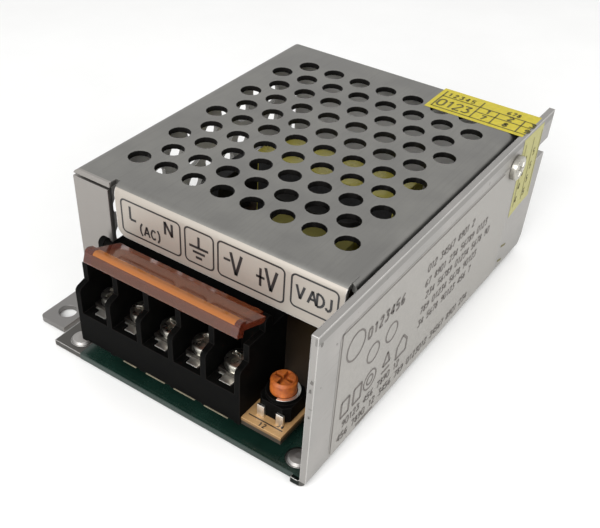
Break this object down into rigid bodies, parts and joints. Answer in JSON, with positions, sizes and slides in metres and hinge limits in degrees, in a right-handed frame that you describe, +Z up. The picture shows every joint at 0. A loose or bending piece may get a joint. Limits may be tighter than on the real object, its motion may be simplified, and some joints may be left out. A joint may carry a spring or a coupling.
{
  "type": "enclosed switching power supply",
  "caption": "Small enclosed power supply: folded chassis, perforated metal cover, screw terminal block with hinged amber cover, and a voltage trimmer.",
  "frame": {"origin": "centre of the case's underside, midway between its outer left and right walls and along the right wall's length", "axes": "+Z up, +Y from the terminals to the back, +X towards the tall chassis wall"},
  "size_m": [0.0664, 0.085, 0.0326],
  "materials": {
    "chassis_aluminium": "satin",
    "cover_steel": "satin",
    "screw_steel": "satin",
    "plated_brass": "satin",
    "laminate": "satin",
    "green_film": "gloss",
    "black_moulding": "satin",
    "amber_plastic": "gloss",
    "orange_plastic": "satin",
    "tube_glass": "gloss",
    "ferrite": "satin",
    "copper_wire": "gloss",
    "sleeve": "gloss",
    "yellow_plastic": "satin",
    "blue_coating": "satin",
    "resistor_coating": "satin",
    "pad_rubber": "matte"
  },
  "bodies": {
    "case": {"chassis": "chassis_aluminium", "perforated_cover": "cover_steel", "case_screws": "screw_steel", "board_screws": "screw_steel", "package_screws": "screw_steel", "terminal_contacts": "plated_brass", "board_standoffs": "plated_brass", "fuse_caps": "plated_brass", "trimmer_legs": "plated_brass", "circuit_board": "laminate", "insulating_film": "green_film", "terminal_block": "black_moulding", "trimmer_body": "black_moulding", "bridge_rectifier": "black_moulding", "control_chip": "black_moulding", "optocoupler": "black_moulding", "switching_transistor": "black_moulding", "output_rectifier": "black_moulding", "inrush_thermistor": "black_moulding", "transformer_bobbin": "black_moulding", "fuse_tube": "tube_glass", "input_choke_core": "ferrite", "transformer_core": "ferrite", "output_choke_core": "ferrite", "input_choke_windings": "copper_wire", "output_choke_winding": "copper_wire", "bulk_capacitor": "sleeve", "output_capacitors": "sleeve", "small_capacitor": "sleeve", "film_capacitor": "yellow_plastic", "core_tape": "yellow_plastic", "transformer_winding": "yellow_plastic", "safety_capacitor": "blue_coating", "resistors": "resistor_coating", "package_pads": "pad_rubber"},
    "terminal_screw_1_body": {"terminal_screw_1": "screw_steel", "clamp_plate_1": "plated_brass"},
    "terminal_screw_2_body": {"terminal_screw_2": "screw_steel", "clamp_plate_2": "plated_brass"},
    "terminal_screw_3_body": {"terminal_screw_3": "screw_steel", "clamp_plate_3": "plated_brass"},
    "terminal_screw_4_body": {"terminal_screw_4": "screw_steel", "clamp_plate_4": "plated_brass"},
    "terminal_screw_5_body": {"terminal_screw_5": "screw_steel", "clamp_plate_5": "plated_brass"},
    "terminal_cover_body": {"terminal_cover": "amber_plastic"},
    "trimmer_rotor_body": {"trimmer_rotor": "orange_plastic"}
  },
  "joints": [
    {"name": "terminal_cover_hinge", "type": "hinge", "parent": "case", "child": "terminal_cover_body", "pos_m": [0, -0.0323, 0.021], "axis": [-1, 0, 0], "range_deg": [-20, 62]},
    {"name": "trimmer_turn", "type": "hinge", "parent": "case", "child": "trimmer_rotor_body", "pos_m": [0.01825, -0.0336, 0.0094], "axis": [0, 0, 1], "range_deg": [-105, 105]},
    {"name": "terminal_screw_1_rise", "type": "slide", "parent": "case", "child": "terminal_screw_1_body", "axis": [0, 0, 1], "range_m": [0, 0.002]},
    {"name": "terminal_screw_2_rise", "type": "slide", "parent": "case", "child": "terminal_screw_2_body", "axis": [0, 0, 1], "range_m": [0, 0.002]},
    {"name": "terminal_screw_3_rise", "type": "slide", "parent": "case", "child": "terminal_screw_3_body", "axis": [0, 0, 1], "range_m": [0, 0.002]},
    {"name": "terminal_screw_4_rise", "type": "slide", "parent": "case", "child": "terminal_screw_4_body", "axis": [0, 0, 1], "range_m": [0, 0.002]},
    {"name": "terminal_screw_5_rise", "type": "slide", "parent": "case", "child": "terminal_screw_5_body", "axis": [0, 0, 1], "range_m": [0, 0.002]}
  ]
}
